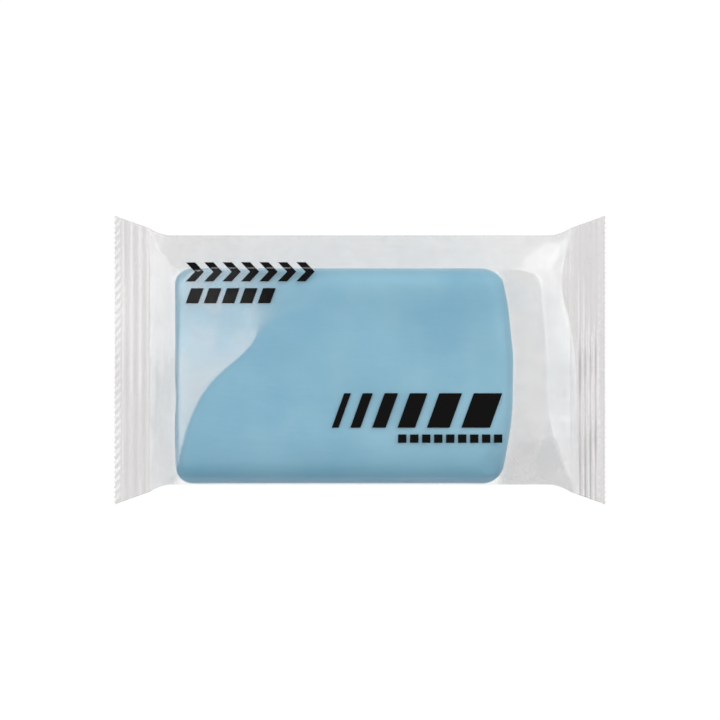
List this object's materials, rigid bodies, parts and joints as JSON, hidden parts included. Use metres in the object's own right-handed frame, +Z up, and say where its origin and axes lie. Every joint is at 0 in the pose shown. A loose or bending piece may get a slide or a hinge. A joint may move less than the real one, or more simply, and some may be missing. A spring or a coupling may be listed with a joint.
{
  "type": "clay bar packet",
  "caption": "Rectangular block of blue detailing clay in a clear flow-wrap packet with crimped zigzag-cut ends and a fin seal along the back.",
  "frame": {"origin": "middle of the packet's footprint, on the surface that it lies on, back down", "axes": "+X along the packet towards the end with the finer crimp ribs, +Y across it towards the empty film beside the block, +Z up, out of the printed front"},
  "size_m": [0.118, 0.0694, 0.0145],
  "materials": {
    "clay": "matte",
    "film": "gloss",
    "crimp": "gloss",
    "ink": "satin"
  },
  "bodies": {
    "wrapper": {"front_film": "film", "back_film_upper": "film", "back_film_lower": "film", "back_fin_outer_ply": "film", "back_fin_inner_ply": "film", "front_title_print": "ink", "front_mark_print": "ink"},
    "bar": {"clay_bar": "clay"},
    "left_end": {"left_seal_front_ply": "crimp", "left_seal_back_ply": "crimp", "left_fin_tail": "crimp"},
    "right_end": {"right_seal_front_ply": "crimp", "right_seal_back_ply": "crimp", "right_fin_tail": "crimp"}
  },
  "joints": [
    {"name": "bar_slide", "type": "slide", "parent": "wrapper", "child": "bar", "axis": [1, 0, 0], "range_m": [0, 0.0075]},
    {"name": "left_seal_flex", "type": "hinge", "parent": "wrapper", "child": "left_end", "pos_m": [-0.0506, 0, 0.00735], "axis": [0, 1, 0], "range_deg": [-55, 55], "stiffness_Nm_per_rad": 0.0005},
    {"name": "right_seal_flex", "type": "hinge", "parent": "wrapper", "child": "right_end", "pos_m": [0.0506, 0, 0.00735], "axis": [0, 1, 0], "range_deg": [-55, 55], "stiffness_Nm_per_rad": 0.0005}
  ]
}
